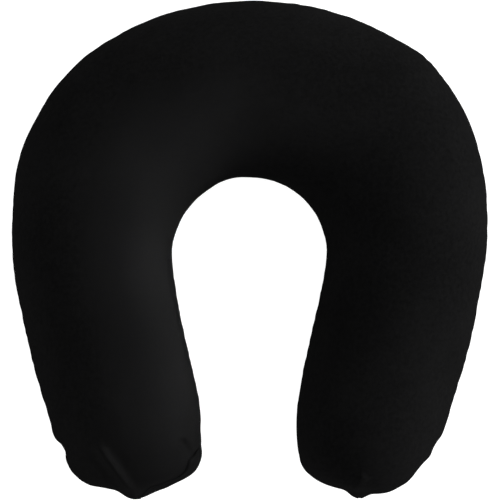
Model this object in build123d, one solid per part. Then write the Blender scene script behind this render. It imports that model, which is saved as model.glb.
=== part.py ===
"""A u shaped travel neck pillow: a stretch cover with a zip, and a bag of beads inside it.

Units are millimetres. The pillow lies flat on z = 0, the back of the u towards +Y and the two
leg ends towards -Y. The seam that joins the two cover panels runs level at SEAM_Z, round the
outer edge and the neck opening. The zip lies in the bottom panel, below the seam round the
back, where it does not touch the neck and does not show from above.
"""
import os
from functools import cache
from math import cos, pi, radians, sin

from build123d import *

# Plan outline: round the back both edges are arcs; down each leg (outer, inner) points in pairs.
BACK_ARC_RADIUS = 183.0
BACK_ARC_CENTRE_Y = -26.0
BACK_ARC_STEP = 9.0
NECK_ARC_RADIUS = 49.0
NECK_ARC_CENTRE_Y = -3.0
NECK_ARC_STEP = 11.5
BACK_STATIONS = 5
SIDE_STATIONS = [
    ((121.0, 107.0), (39.4, 26.1)),
    ((133.4, 88.0), (42.9, 20.8)),
    ((147.4, 46.0), (47.8, 8.2)),
    ((148.8, -7.0), (48.9, -7.0)),
    ((143.6, -36.0), (45.6, -28.0)),
    ((136.0, -70.0), (38.9, -58.0)),
    ((127.0, -101.0), (32.6, -88.0)),
    ((121.5, -117.0), (30.6, -105.0)),
    ((115.5, -129.0), (30.6, -120.0)),
    ((107.5, -139.5), (33.0, -133.5)),
    ((98.0, -147.0), (39.5, -142.5)),
    ((87.5, -150.6), (50.5, -148.4)),
    ((77.5, -151.8), (62.0, -151.2)),
]
LEG_END_Y = -151.4

# The tube's section: half heights at the back and in the legs, about the seam.
SEAM_Z = 44.0
HALF_HEIGHT_BACK = 48.0
HALF_HEIGHT_LEG = 45.5
ROUND_END_HALF_WIDTH = 46.5

# Layers, as depths below the outer surface.
COVER_THICKNESS = 1.2
ALLOWANCE_DEPTH = 2.2
ALLOWANCE_WIDTH = 7.0
COVER_THREAD = (2.3, 2.7)
LINER_THREAD = (3.7, 4.1)
LINER = (4.2, 4.7)
FILL_DEPTH = 4.8
THREAD_HALF_WIDTH = 0.3

# The gathered nub at each leg end, and the bar of thread across it.
TIP_X, TIP_Y = 70.0, -149.8
TIP_RADIUS = 7.0
TIP_FLAT = 6.7
TACK_SIZE = (5.0, 0.5, 1.2)

# The zip's centre line: its radius about the back arc's centre, its height and its slope.
# Section points below are (distance out from the cover's surface, distance up the slope).
ZIP_RADIUS = 177.42
ZIP_Z = 23.0
ZIP_TILT = 29.4
SLOT_ANGLE = 24.5
SLOT_HALF_HEIGHT = 3.2
TAPE_ANGLE = 26.5
TAPE_HEIGHTS = (0.35, 12.0)
TAPE_DEPTHS = (1.45, 2.0)
COIL_ANGLE = 22.8
COIL_HEIGHTS = (0.35, 2.85)
COIL_RISE = (-1.35, 0.45)
SPINE_HEIGHT = 0.9
SPINE_THICKNESS = 1.1
SPINE_GAP = 0.05
TOOTH_PITCH = 0.42
TOOTH_WIDTH = 0.8
STOP_ANGLE = 22.95
STOP_LENGTH = 0.65
STOP_RISE = (-1.3, 0.55)
STOP_HEIGHTS = (0.4, 3.0)
STITCH_HEIGHT = 5.6
STITCH_PITCH = 1.0
STITCH_SIZE = (2.3, 0.35, 0.5)
STITCH_RISE = -0.16
BAR_TACK_ANGLE = 25.6
BAR_TACK_SIZE = (1.4, 0.4, 8.6)
BAR_TACK_RISE = 0.3

# The slider, in its own frame: x along the zip, y out of the cover, z up the slope.
SLIDER_ANGLE = 21.0
SLIDER_LENGTH = 10.4
OUTER_PLATE = (0.7, 1.9)
INNER_PLATE = (-3.6, -2.65)
OUTER_HALF_HEIGHT = 4.2
INNER_HALF_HEIGHT = 3.6
NOSE_SHARE = 0.75
TAIL_SHARE = 0.85
SLIDER_CHAMFER = 1.2
WEB_LENGTH = 3.2
WEB_THICKNESS = 0.4
LUG_HEIGHTS = (1.05, 1.9)
LUG_RADIUS = 1.15
PIN_X, PIN_RISE = 1.2, 3.1
PIN_RADIUS = 0.55

# The pull, about the pin: x along the pull from the pin.
EYE_RADIUS = 1.1
EYE_HALF_HEIGHT = 0.95
EYE_CLEARANCE = 0.05
PULL_LENGTH = 23.0
PULL_THICKNESS = 1.2
PULL_HALF_HEIGHT = 3.1
PULL_NECK_LENGTH = 5.0
PULL_NECK_HALF_HEIGHT = 0.9
PULL_TAB_START = 2.4
PULL_CORNER_RADIUS = 1.5
GRIP_LENGTH = 11.0
GRIP_DEPTH = 0.25
GRIP_HALF_HEIGHT = 2.1

# The blank label sewn to the bottom panel beside the zip.
LABEL_ANGLES = (-36.0, -31.0)
LABEL_HEIGHTS = (-12.0, 9.0)
LABEL_DEPTHS = (-0.85, -0.35)
LABEL_STITCH_HEIGHT = 7.6
LABEL_STITCH_PITCH = 0.9
LABEL_STITCH_LENGTH = 0.65
LABEL_STITCH_HALF_WIDTH = 0.25
LABEL_STITCH_DEPTHS = (-1.2, -0.9)

BIG = 500.0
BACK_AXIS = Axis((0, BACK_ARC_CENTRE_Y, 0), (0, 0, 1))


def half_outline():
    """Pairs of (outer, inner) plan points from the middle of the back to the +X leg's end."""
    pairs = []
    for k in range(BACK_STATIONS):
        back, neck = radians(BACK_ARC_STEP * k), radians(NECK_ARC_STEP * k)
        outer = Vector(sin(back), cos(back)) * BACK_ARC_RADIUS + Vector(0, BACK_ARC_CENTRE_Y)
        inner = Vector(sin(neck), cos(neck)) * NECK_ARC_RADIUS + Vector(0, NECK_ARC_CENTRE_Y)
        pairs.append((outer, inner))
    return pairs + [(Vector(*outer), Vector(*inner)) for outer, inner in SIDE_STATIONS]


def whole_outline():
    """The pairs from the -X leg's end, round the back, to the +X leg's end."""
    right = half_outline()
    left = [(Vector(-o.X, o.Y), Vector(-i.X, i.Y)) for o, i in reversed(right[1:])]
    return left + right


def moved_in(points, depth, side):
    """Edge points moved in towards the middle of the tube; side is 1 for the outer edge."""
    moved = []
    for k, here in enumerate(points):
        before, after = points[max(k - 1, 0)], points[min(k + 1, len(points) - 1)]
        back, ahead = (here - before).length or BIG, (after - here).length or BIG
        tangent = (here - before) * (ahead / back) + (after - here) * (back / ahead)
        tangent = tangent.normalized()
        moved.append(here + Vector(tangent.Y, -tangent.X) * (depth * side))
    return moved


def half_height(k, outer, inner):
    """Half the tube's height at station k: full at the back, less in the legs, round at the end."""
    last = len(SIDE_STATIONS) + BACK_STATIONS - 1
    steps = min(1.0, abs(k - last) / (last - BACK_STATIONS))
    full = HALF_HEIGHT_BACK + (HALF_HEIGHT_LEG - HALF_HEIGHT_BACK) * steps**2
    return full * min(1.0, (outer - inner).length / 2 / ROUND_END_HALF_WIDTH)


def half_section(outer, inner, high):
    """Half of one section, an ellipse's: from the outer edge over or under to the inner edge."""
    across, rise = (outer - inner) * 0.5, Vector(0, 0, high)
    centre = (outer + inner) * 0.5 + Vector(0, 0, SEAM_Z)
    plane = Plane(origin=centre, x_dir=across, z_dir=across.cross(rise))
    return Wire([Edge.make_ellipse(across.length, rise.length, plane, 0, 180)])


@cache
def half_tube(depth, up):
    """The upper or lower half of the closed tube that lies depth below the outer surface."""
    pairs = whole_outline()
    outer = moved_in([p[0] for p in pairs], depth, 1)
    inner = moved_in([p[1] for p in pairs], depth, -1)
    side = 1 if up else -1
    sections = [
        half_section(o, i, (half_height(k, *pairs[k]) - depth) * side)
        for k, (o, i) in enumerate(zip(outer, inner))
    ]
    skin = Shell.make_loft(sections).faces()[0]
    edges = skin.edges().sort_by(SortBy.LENGTH)
    ends, rims = edges[:2], edges[2:]
    lines = [Edge.make_line(end @ 0, end @ 1) for end in ends]
    caps = [Face(Wire([end, line])) for end, line in zip(ends, lines)]
    return Solid(Shell([skin, Face(Wire([*rims, *lines])), *caps]))


def slab(low, high):
    """Everything between two heights."""
    return Pos(0, 0, (low + high) / 2) * Box(BIG, BIG, high - low)


@cache
def layer(depth, up, low, high):
    """The inside of the tube at a depth between two heights, held clear of the leg ends too."""
    low = max(low, depth)
    start = LEG_END_Y + depth
    room = Pos(0, start + BIG / 2, (low + high) / 2) * Box(BIG, BIG, high - low)
    return half_tube(depth, up) & room


def zip_point(angle):
    """The point of the cover's surface on the zip's centre line at an angle round the back."""
    at = radians(angle)
    return Vector(sin(at) * ZIP_RADIUS, BACK_ARC_CENTRE_Y + cos(at) * ZIP_RADIUS, ZIP_Z)


def zip_directions(angle):
    """Along the zip, out of the cover and up the slope, at an angle round the back."""
    at, tilt = radians(angle), radians(ZIP_TILT)
    along = Vector(cos(at), -sin(at), 0)
    out = Vector(sin(at) * cos(tilt), cos(at) * cos(tilt), -sin(tilt))
    up = Vector(sin(at) * sin(tilt), cos(at) * sin(tilt), cos(tilt))
    return along, out, up


def on_zip(angle):
    """A frame on the zip: x along it, y out of the cover, z up the slope."""
    along, _, up = zip_directions(angle)
    return Plane(origin=zip_point(angle), x_dir=along, z_dir=up)


def round_back(face, low_angle, high_angle):
    """A section face, x out and y up the slope, swept between two angles round the back."""
    along, out, _ = zip_directions(high_angle)
    across = Plane(origin=zip_point(high_angle), x_dir=out, z_dir=along)
    return revolve(across * face, BACK_AXIS, high_angle - low_angle)


def block_round_back(rise, heights, low_angle, high_angle):
    """A rectangular section swept between two angles round the back."""
    (near, far), (low, high) = rise, heights
    face = Pos((near + far) / 2, (low + high) / 2) * Rectangle(far - near, high - low)
    return round_back(face, low_angle, high_angle)


def sided(heights, up):
    """A pair of heights above the zip's centre line, or the same pair below it."""
    low, high = heights
    return (low, high) if up else (-high, -low)


def cover_panel(up):
    """One half of the cover: its skin, its half of both nubs and its turned-in allowance."""
    panel = half_tube(0, up)
    half_space = slab(SEAM_Z, BIG) if up else slab(-BIG, SEAM_Z)
    for side in (-1, 1):
        nub = Sphere(TIP_RADIUS) & (Pos(0, BIG / 2 - TIP_FLAT, 0) * Box(BIG, BIG, BIG))
        panel += (Pos(side * TIP_X, TIP_Y, SEAM_Z) * nub) & half_space
    if up:
        panel -= layer(COVER_THICKNESS, up, SEAM_Z + ALLOWANCE_WIDTH, BIG)
        panel -= layer(ALLOWANCE_DEPTH, up, 0, SEAM_Z + ALLOWANCE_WIDTH)
        return panel
    panel &= slab(0, SEAM_Z)
    panel -= layer(COVER_THICKNESS, up, 0, SEAM_Z - ALLOWANCE_WIDTH)
    panel -= layer(ALLOWANCE_DEPTH, up, SEAM_Z - ALLOWANCE_WIDTH, BIG)
    slot_height = (-SLOT_HALF_HEIGHT, SLOT_HALF_HEIGHT)
    return panel - block_round_back((-6, 6), slot_height, -SLOT_ANGLE, SLOT_ANGLE)


def liner_panel(up):
    """One half of the closed bag that holds the beads."""
    outside, inside = LINER
    return layer(outside, up, 0, BIG) - layer(inside, up, 0, BIG)


def bead_filling():
    """The beads, as the one body they pack into."""
    return layer(FILL_DEPTH, True, 0, BIG) + layer(FILL_DEPTH, False, 0, BIG)


def seam_thread(depths):
    """The overlock thread along a seam, round the outer edge, both leg ends and the neck."""
    outside, inside = depths
    halves = []
    for up in (True, False):
        low = SEAM_Z if up else SEAM_Z - THREAD_HALF_WIDTH
        high = low + THREAD_HALF_WIDTH
        halves.append(layer(outside, up, low, high) - layer(inside, up, low, high))
    return halves[0] + halves[1]


def tip_tack(side):
    """The bar of thread that holds the gathered end of a leg."""
    length, depth, height = TACK_SIZE
    return Pos(side * TIP_X, TIP_Y - TIP_FLAT - depth / 2, SEAM_Z) * Box(length, depth, height)


def between(depths, block):
    """The part of a block that lies between two depths of the tube's lower half."""
    near, far = depths
    return (block & half_tube(near, False)) - half_tube(far, False)


def zip_tape(up):
    """One woven tape, lying behind the cover along its side of the opening."""
    band = block_round_back((-8, 4), sided(TAPE_HEIGHTS, up), -TAPE_ANGLE, TAPE_ANGLE)
    return between(TAPE_DEPTHS, band)


def zip_coil(up):
    """One side's coil: its teeth in a row, and the spine beside them along the tape."""
    low, high = COIL_HEIGHTS
    near, far = COIL_RISE
    spine_heights = sided((high - SPINE_HEIGHT, high), up)
    spine_rise = (near, near + SPINE_THICKNESS)
    spine = block_round_back(spine_rise, spine_heights, -COIL_ANGLE, COIL_ANGLE)
    tooth_high = high - SPINE_HEIGHT - SPINE_GAP
    middle = (low + tooth_high) / 2 * (1 if up else -1)
    tooth = Pos(0, (near + far) / 2, middle) * Box(TOOTH_WIDTH, far - near, tooth_high - low)
    count = int(2 * COIL_ANGLE / TOOTH_PITCH)
    first = -(count - 1) * TOOTH_PITCH / 2 - TOOTH_PITCH / 4 * (1 if up else -1)
    teeth = [on_zip(first + k * TOOTH_PITCH) * tooth for k in range(count)]
    return Compound(children=[spine, *teeth])


def zip_top_stop(up):
    """The clip on one tape that stops the slider where the zip is closed."""
    heights = sided(STOP_HEIGHTS, up)
    return block_round_back(STOP_RISE, heights, STOP_ANGLE, STOP_ANGLE + STOP_LENGTH)


def zip_bottom_stop():
    """The clip across both tapes that stops the slider where the zip is fully open."""
    high = STOP_HEIGHTS[1]
    return block_round_back(STOP_RISE, (-high, high), -STOP_ANGLE - STOP_LENGTH, -STOP_ANGLE)


def zip_stitching(up):
    """The row of stitches that holds one tape to its edge of the opening."""
    height = STITCH_HEIGHT * (1 if up else -1)
    stitch = Pos(0, STITCH_RISE, height) * Box(*STITCH_SIZE)
    half = int(TAPE_ANGLE / STITCH_PITCH) - 1
    return Compound(children=[on_zip(k * STITCH_PITCH) * stitch for k in range(-half, half + 1)])


def zip_bar_tack(side):
    """The bar of thread across one end of the zip."""
    return on_zip(side * BAR_TACK_ANGLE) * Pos(0, BAR_TACK_RISE, 0) * Box(*BAR_TACK_SIZE)


def slider_plate(half, rise):
    """A slider plate: wide where the open halves enter, narrow behind, lying between two rises."""
    nose, tail = SLIDER_LENGTH / 2, -SLIDER_LENGTH / 2
    narrow = half * TAIL_SHARE
    upper = [
        (tail, narrow - SLIDER_CHAMFER),
        (tail + SLIDER_CHAMFER, narrow),
        (0, half),
        (nose - SLIDER_CHAMFER, half),
        (nose, half * NOSE_SHARE),
    ]
    outline = upper + [(x, -z) for x, z in reversed(upper)]
    near, far = rise
    face = make_face(Polyline(*outline, close=True))
    return extrude(Plane(origin=(0, far, 0), x_dir=(1, 0, 0), z_dir=(0, -1, 0)) * face, far - near)


def zip_slider():
    """The slider: two plates, the web between the coils, the lugs and the pull's pin."""
    body = slider_plate(OUTER_HALF_HEIGHT, OUTER_PLATE)
    body += slider_plate(INNER_HALF_HEIGHT, INNER_PLATE)
    near, far = INNER_PLATE[0] + 0.4, OUTER_PLATE[1] - 0.4
    web = Pos(SLIDER_LENGTH / 2 - WEB_LENGTH / 2 - 0.4, (near + far) / 2, 0)
    body += web * Box(WEB_LENGTH, far - near, WEB_THICKNESS)
    low, high = LUG_HEIGHTS
    foot = OUTER_PLATE[1] - 0.2
    for side in (-1, 1):
        middle = side * (low + high) / 2
        body += Pos(PIN_X, PIN_RISE, middle) * Cylinder(LUG_RADIUS, high - low)
        stem = Pos(PIN_X, (foot + PIN_RISE) / 2, middle)
        body += stem * Box(2 * LUG_RADIUS, PIN_RISE - foot, high - low)
    body += Pos(PIN_X, PIN_RISE, 0) * Cylinder(PIN_RADIUS, 2 * high)
    return on_zip(SLIDER_ANGLE) * body


def zip_pull():
    """The pull: an eye round the pin, a neck, and a flat tab with a sunk grip on each face."""
    pull = Cylinder(EYE_RADIUS, 2 * EYE_HALF_HEIGHT)
    neck = Box(PULL_NECK_LENGTH, PULL_THICKNESS, 2 * PULL_NECK_HALF_HEIGHT)
    pull += Pos(PULL_NECK_LENGTH / 2, 0, 0) * neck
    length = PULL_LENGTH - PULL_TAB_START
    tab = Box(length, PULL_THICKNESS, 2 * PULL_HALF_HEIGHT)
    tab = fillet(tab.edges().filter_by(Axis.Y), PULL_CORNER_RADIUS)
    grip = Box(GRIP_LENGTH, 2 * GRIP_DEPTH, 2 * GRIP_HALF_HEIGHT)
    grip_x = length / 2 - PULL_CORNER_RADIUS - GRIP_LENGTH / 2
    for side in (-1, 1):
        tab -= Pos(grip_x, side * PULL_THICKNESS / 2, 0) * grip
    pull += Pos(PULL_TAB_START + length / 2, 0, 0) * tab
    pull -= Cylinder(PIN_RADIUS + EYE_CLEARANCE, 4 * EYE_HALF_HEIGHT)
    return on_zip(SLIDER_ANGLE) * Pos(PIN_X, PIN_RISE, 0) * pull


def care_label():
    """The blank label, following the cover just clear of it."""
    low_angle, high_angle = LABEL_ANGLES
    patch = block_round_back((-12, 8), LABEL_HEIGHTS, low_angle, high_angle)
    return between(LABEL_DEPTHS, patch)


def care_label_stitching():
    """The row of stitches along the label's upper edge."""
    low_angle, high_angle = LABEL_ANGLES
    count = int((high_angle - low_angle) / LABEL_STITCH_PITCH)
    first = (low_angle + high_angle - (count - 1) * LABEL_STITCH_PITCH - LABEL_STITCH_LENGTH) / 2
    low = LABEL_STITCH_HEIGHT - LABEL_STITCH_HALF_WIDTH
    high = LABEL_STITCH_HEIGHT + LABEL_STITCH_HALF_WIDTH
    stitches = []
    for k in range(count):
        start = first + k * LABEL_STITCH_PITCH
        bar = block_round_back((-4, 4), (low, high), start, start + LABEL_STITCH_LENGTH)
        stitches.append(between(LABEL_STITCH_DEPTHS, bar))
    return Compound(children=stitches)


NODES = {
    "cover_top_panel": cover_panel(True),
    "cover_bottom_panel": cover_panel(False),
    "cover_seam_thread": seam_thread(COVER_THREAD),
    "leg_tip_tack_left": tip_tack(-1),
    "leg_tip_tack_right": tip_tack(1),
    "liner_top_panel": liner_panel(True),
    "liner_bottom_panel": liner_panel(False),
    "liner_seam_thread": seam_thread(LINER_THREAD),
    "bead_filling": bead_filling(),
    "zip_tape_upper": zip_tape(True),
    "zip_tape_lower": zip_tape(False),
    "zip_coil_upper": zip_coil(True),
    "zip_coil_lower": zip_coil(False),
    "zip_top_stop_upper": zip_top_stop(True),
    "zip_top_stop_lower": zip_top_stop(False),
    "zip_bottom_stop": zip_bottom_stop(),
    "zip_stitching_upper": zip_stitching(True),
    "zip_stitching_lower": zip_stitching(False),
    "zip_bar_tack_left": zip_bar_tack(-1),
    "zip_bar_tack_right": zip_bar_tack(1),
    "zip_slider": zip_slider(),
    "zip_pull": zip_pull(),
    "care_label": care_label(),
    "care_label_stitching": care_label_stitching(),
}

os.makedirs("parts", exist_ok=True)
for name, shape in NODES.items():
    export_step(shape, f"parts/{name}.step")
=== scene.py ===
"""The looks of a u shaped travel neck pillow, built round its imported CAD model."""
from math import asin, cos, pi, radians, sin

import bpy
import numpy as np
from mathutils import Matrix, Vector
from mathutils.bvhtree import BVHTree


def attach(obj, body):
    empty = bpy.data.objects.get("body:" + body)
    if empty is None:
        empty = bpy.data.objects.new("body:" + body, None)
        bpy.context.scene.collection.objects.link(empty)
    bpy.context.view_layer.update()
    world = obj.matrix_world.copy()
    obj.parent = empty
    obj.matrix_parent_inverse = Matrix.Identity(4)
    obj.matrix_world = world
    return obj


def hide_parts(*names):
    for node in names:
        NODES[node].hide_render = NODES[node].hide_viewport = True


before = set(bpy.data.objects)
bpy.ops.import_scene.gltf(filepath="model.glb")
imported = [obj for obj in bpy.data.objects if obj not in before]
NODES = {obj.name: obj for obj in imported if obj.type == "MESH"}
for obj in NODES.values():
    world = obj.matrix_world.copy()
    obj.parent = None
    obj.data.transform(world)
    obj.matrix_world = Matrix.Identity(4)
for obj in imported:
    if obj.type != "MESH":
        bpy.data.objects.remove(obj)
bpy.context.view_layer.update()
MM = 0.001

# The camera looks straight down; at the seam's height the picture is SEEN_WIDTH wide. All in m.
CAMERA_X, CAMERA_HEIGHT, SEEN_WIDTH = 0.00016, 2.2, 0.3158
SENSOR_MM = 36.0

# The plan outline, in mm, as in the CAD model: arcs round the back, then (outer, inner) pairs.
BACK_RADIUS, BACK_CENTRE_Y, BACK_STEP = 183.0, -26.0, 9.0
NECK_RADIUS, NECK_CENTRE_Y, NECK_STEP = 49.0, -3.0, 11.5
BACK_STATIONS = 5
SIDE = [
    ((121.0, 107.0), (39.4, 26.1)),
    ((133.4, 88.0), (42.9, 20.8)),
    ((147.4, 46.0), (47.8, 8.2)),
    ((148.8, -7.0), (48.9, -7.0)),
    ((143.6, -36.0), (45.6, -28.0)),
    ((136.0, -70.0), (38.9, -58.0)),
    ((127.0, -101.0), (32.6, -88.0)),
    ((121.5, -117.0), (30.6, -105.0)),
    ((115.5, -129.0), (30.6, -120.0)),
    ((107.5, -139.5), (33.0, -133.5)),
    ((98.0, -147.0), (39.5, -142.5)),
    ((87.5, -150.6), (50.5, -148.4)),
    ((77.5, -151.8), (62.0, -151.2)),
    ((71.0, -152.3), (69.0, -152.2)),
]
SEAM_Z = 44.0
# The mean radius of a section, mm: it turns angles round the tube into lengths.
SECTION_RADIUS = 47.0
HEIGHT_BACK, HEIGHT_LEG, ROUND_HALF_WIDTH = 48.0, 45.5, 46.5
TIP = (70.0, -151.5)
# Folds on top of the leg ends: start, end, the ridge's height and its reach to the left and
# right, the depth of the valley beside it and how far to the left that lies.
FOLDS = (
    ((-97.0, -117.0), (-68.8, -157.5), 5.4, 3.2, 3.2, 0.8, 6.0),
    ((70.5, -137.0), (63.0, -157.0), 2.6, 1.8, 4.4, 0.8, 4.5),
    ((-43.5, -117.0), (-36.0, -129.5), -3.4, 2.6, 1.7, 0.0, 4.0),
)

# The zip and the label, as in the CAD model: angles round the back in degrees, lengths in mm.
ZIP_RADIUS, ZIP_Z, ZIP_TILT = 177.42, 23.0, 29.4
SLOT_ANGLE, SLOT_HALF = 24.5, 3.2
STITCH_HEIGHT, STITCH_PITCH, STITCHES_EACH_WAY = 5.6, 1.0, 25
COIL_ANGLE, TOOTH_PITCH = 22.8, 0.42
COIL_REACH, COIL_SPREAD, COIL_DEPTH, COIL_THICK, COIL_SQUARE = 1.6, 1.0, -0.45, 0.63, 0.8
FILAMENT_RADIUS = 0.25
TAPE_ANGLE, TAPE_HEIGHTS, TAPE_BEHIND, TAPE_THICK = 26.4, (0.4, 11.95), 1.72, 0.42
BAR_TACK_ANGLE = 25.6
LABEL_ANGLES, LABEL_HEIGHTS = (-36.0, -31.0), (-12.0, 9.0)
LABEL_THICK = 0.24
LABEL_STITCH_HEIGHT, LABEL_STITCHES = 7.6, 5
STITCH_STEPS = 9

# How uneven the real, soft thing is: the plan's lean in x at each y, the left inner seam rolled
# up towards the leg's end, and nudges of the surface as (x, y, z, reach, dx, dy).
LEAN = ((-150, -0.6), (-60, -0.9), (-30, -0.8), (20, 0.1), (60, 0.6), (100, 1.9), (150, 2.1))
SEAM_ROLL, TIP_ROLL = radians(31), radians(24)
NUDGES = (
    (-109, 119, 44, 16, 1.0, -0.9),
    (-90, 132, 44, 13, 0.5, -0.7),
    (94, 134, 44, 13, -0.2, -0.4),
    (-145, 58, 44, 18, -0.9, 0.3),
    (-14, 44, 44, 11, 0.0, 0.9),
    (-43, -58, 44, 26, -0.8, 0.0),
    (134, -52, 44, 24, 0.9, 0.0),
    (-121, -127, 44, 6, 1.5, 0.8),
    (-123, -117, 44, 6, -1.0, -0.4),
    (-106, -145, 44, 11, -1.7, -2.2),
    (-113, -135, 44, 7, -1.8, -0.6),
    (-72.0, -152, 42, 9.5, 0.0, -4.9),
    (-57, -151, 38, 8, 0.4, -1.8),
    (-42, -144, 38, 9, 0.9, -0.5),
    (-33, -134, 40, 11, 2.6, 0.0),
    (-46, -145, 60, 6, -0.8, 0.8),
    (-55, -149, 60, 7, -0.5, 1.9),
    (-64, -151.5, 56, 5, 0.0, 2.0),
    (68.5, -152, 42, 6.5, 0.0, -4.2),
    (83, -151, 42, 9, 0.4, -2.2),
    (97, -147, 44, 9, 0.4, -0.5),
    (107, -138, 44, 9, -1.2, 1.0),
    (118, -124, 44, 6, -1.2, 0.4),
)

# The simulation: frames run, and the furthest that it may move a point of the cover, mm.
CLOTH_FRAMES, MOST_MOVED = 20, 0.22
# Depths below the cover, mm, of the inner bag, the filling and the two overlock threads.
LINER_DEPTH, FILLING_DEPTH, COVER_THREAD_DEPTH, LINER_THREAD_DEPTH = 4.3, 4.95, 3.1, 3.9
OVERLOCK_RADIUS, OVERLOCK_STEP, OVERLOCK_PITCH = 0.08, 0.45, 2.6
# The knit's columns and rows of loops, m.
WALE_PITCH, COURSE_PITCH = 0.00052, 0.00042
RANDOM_TABLE, RANDOM_START = 4096, 512.0


# ---------------------------------------------------------------- camera, light and floor
def make_camera():
    data = bpy.data.cameras.new("camera")
    obj = bpy.data.objects.new("camera", data)
    bpy.context.scene.collection.objects.link(obj)
    obj.location = (CAMERA_X, 0.0, CAMERA_HEIGHT)
    data.sensor_width = SENSOR_MM
    data.lens = SENSOR_MM * (CAMERA_HEIGHT - 0.044) / SEEN_WIDTH
    data.clip_end = 20.0
    bpy.context.scene.camera = obj


def area_light(name, place, target, size, power, spread=180.0):
    data = bpy.data.lights.new(name, "AREA")
    data.shape = "RECTANGLE"
    data.size, data.size_y = size
    data.energy = power
    data.spread = radians(spread)
    obj = bpy.data.objects.new(name, data)
    bpy.context.scene.collection.objects.link(obj)
    obj.location = place
    obj.rotation_euler = (Vector(target) - Vector(place)).to_track_quat("-Z", "Y").to_euler()


def make_world():
    scene = bpy.context.scene
    scene.view_settings.view_transform = "Standard"
    scene.view_settings.look = "None"
    world = bpy.data.worlds.new("studio")
    world.use_nodes = True
    world.node_tree.nodes["Background"].inputs["Color"].default_value = (1, 1, 1, 1)
    world.node_tree.nodes["Background"].inputs["Strength"].default_value = 1.0
    scene.world = world


def make_floor():
    bpy.ops.mesh.primitive_plane_add(size=8.0, location=(0, 0, -0.0002))
    floor = bpy.context.object
    floor.name = "floor"
    paper = bpy.data.materials.new("floor_paper")
    paper.use_nodes = True
    shader = paper.node_tree.nodes["Principled BSDF"]
    shader.inputs["Base Color"].default_value = (0.35, 0.35, 0.35, 1)
    shader.inputs["Roughness"].default_value = 0.9
    shader.inputs["Specular IOR Level"].default_value = 0.1
    shader.inputs["Emission Color"].default_value = (1, 1, 1, 1)
    shader.inputs["Emission Strength"].default_value = 0.93
    floor.data.materials.append(paper)


def make_lights():
    area_light("key_right", (3.0, 0.0, 0.62), (0.0, 0.0, 0.05), (1.7, 0.9), 90.0)
    area_light("key_behind", (2.4, 1.5, 1.1), (0.0, 0.0, 0.05), (1.5, 0.9), 82.0)
    place, target = (0.343, 0.059, 0.356), (-0.053, -0.025, 0.062)
    area_light("strip_left_leg", place, target, (0.2, 0.04), 0.09, 12.0)


# ---------------------------------------------------------------- small helpers
def smooth(x, low, high):
    t = np.clip((x - low) / (high - low), 0, 1)
    return t * t * (3 - 2 * t)


def bell(x, middle, width):
    return np.exp(-(((x - middle) / width) ** 2))


def wave(x, pitch, seed):
    """Smooth random values, about -1 to 1, that change over the given pitch."""
    values = np.random.default_rng(seed).uniform(-1, 1, RANDOM_TABLE)
    at = np.asarray(x, float) / pitch + RANDOM_START
    k = np.floor(at).astype(int)
    t = at - k
    t = t * t * (3 - 2 * t)
    return values[k % RANDOM_TABLE] * (1 - t) + values[(k + 1) % RANDOM_TABLE] * t


def spline(points, at):
    """Points on a natural cubic spline through points, at knot positions in [0, len - 1]."""
    p = np.asarray(points, float)
    n = len(p)
    t = np.concatenate([[0], np.cumsum(np.linalg.norm(np.diff(p, axis=0), axis=1) ** 0.5)])
    h = np.diff(t)
    a = np.zeros((n, n))
    b = np.zeros((n, p.shape[1]))
    a[0, 0] = a[-1, -1] = 1
    for i in range(1, n - 1):
        a[i, i - 1 : i + 2] = h[i - 1], 2 * (h[i - 1] + h[i]), h[i]
        b[i] = 6 * ((p[i + 1] - p[i]) / h[i] - (p[i] - p[i - 1]) / h[i - 1])
    m = np.linalg.solve(a, b)
    k = np.clip(at.astype(int), 0, n - 2)
    hk = h[k][:, None]
    d1 = (at - k)[:, None] * hk
    d0 = hk - d1
    start = m[k] * d0**3 / (6 * hk) + (p[k] / hk - m[k] * hk / 6) * d0
    return start + m[k + 1] * d1**3 / (6 * hk) + (p[k + 1] / hk - m[k + 1] * hk / 6) * d1


def stations():
    """(outer x, y, inner x, y) from the -X leg's end round the back to the +X leg's end."""
    right = []
    for k in range(BACK_STATIONS):
        a, b = radians(BACK_STEP * k), radians(NECK_STEP * k)
        outer = (sin(a) * BACK_RADIUS, BACK_CENTRE_Y + cos(a) * BACK_RADIUS)
        right.append((*outer, sin(b) * NECK_RADIUS, NECK_CENTRE_Y + cos(b) * NECK_RADIUS))
    right += [(*outer, *inner) for outer, inner in SIDE]
    left = [(-ox, oy, -ix, iy) for ox, oy, ix, iy in reversed(right[1:])]
    return left + right


STATIONS = stations()
MIDDLE = len(STATIONS) // 2
FINE = np.linspace(0, len(STATIONS) - 1, 4000)
RUN = np.concatenate(
    [[0], np.cumsum(np.linalg.norm(np.diff(spline(STATIONS, FINE)[:, :2], axis=0), axis=1))]
)


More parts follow.
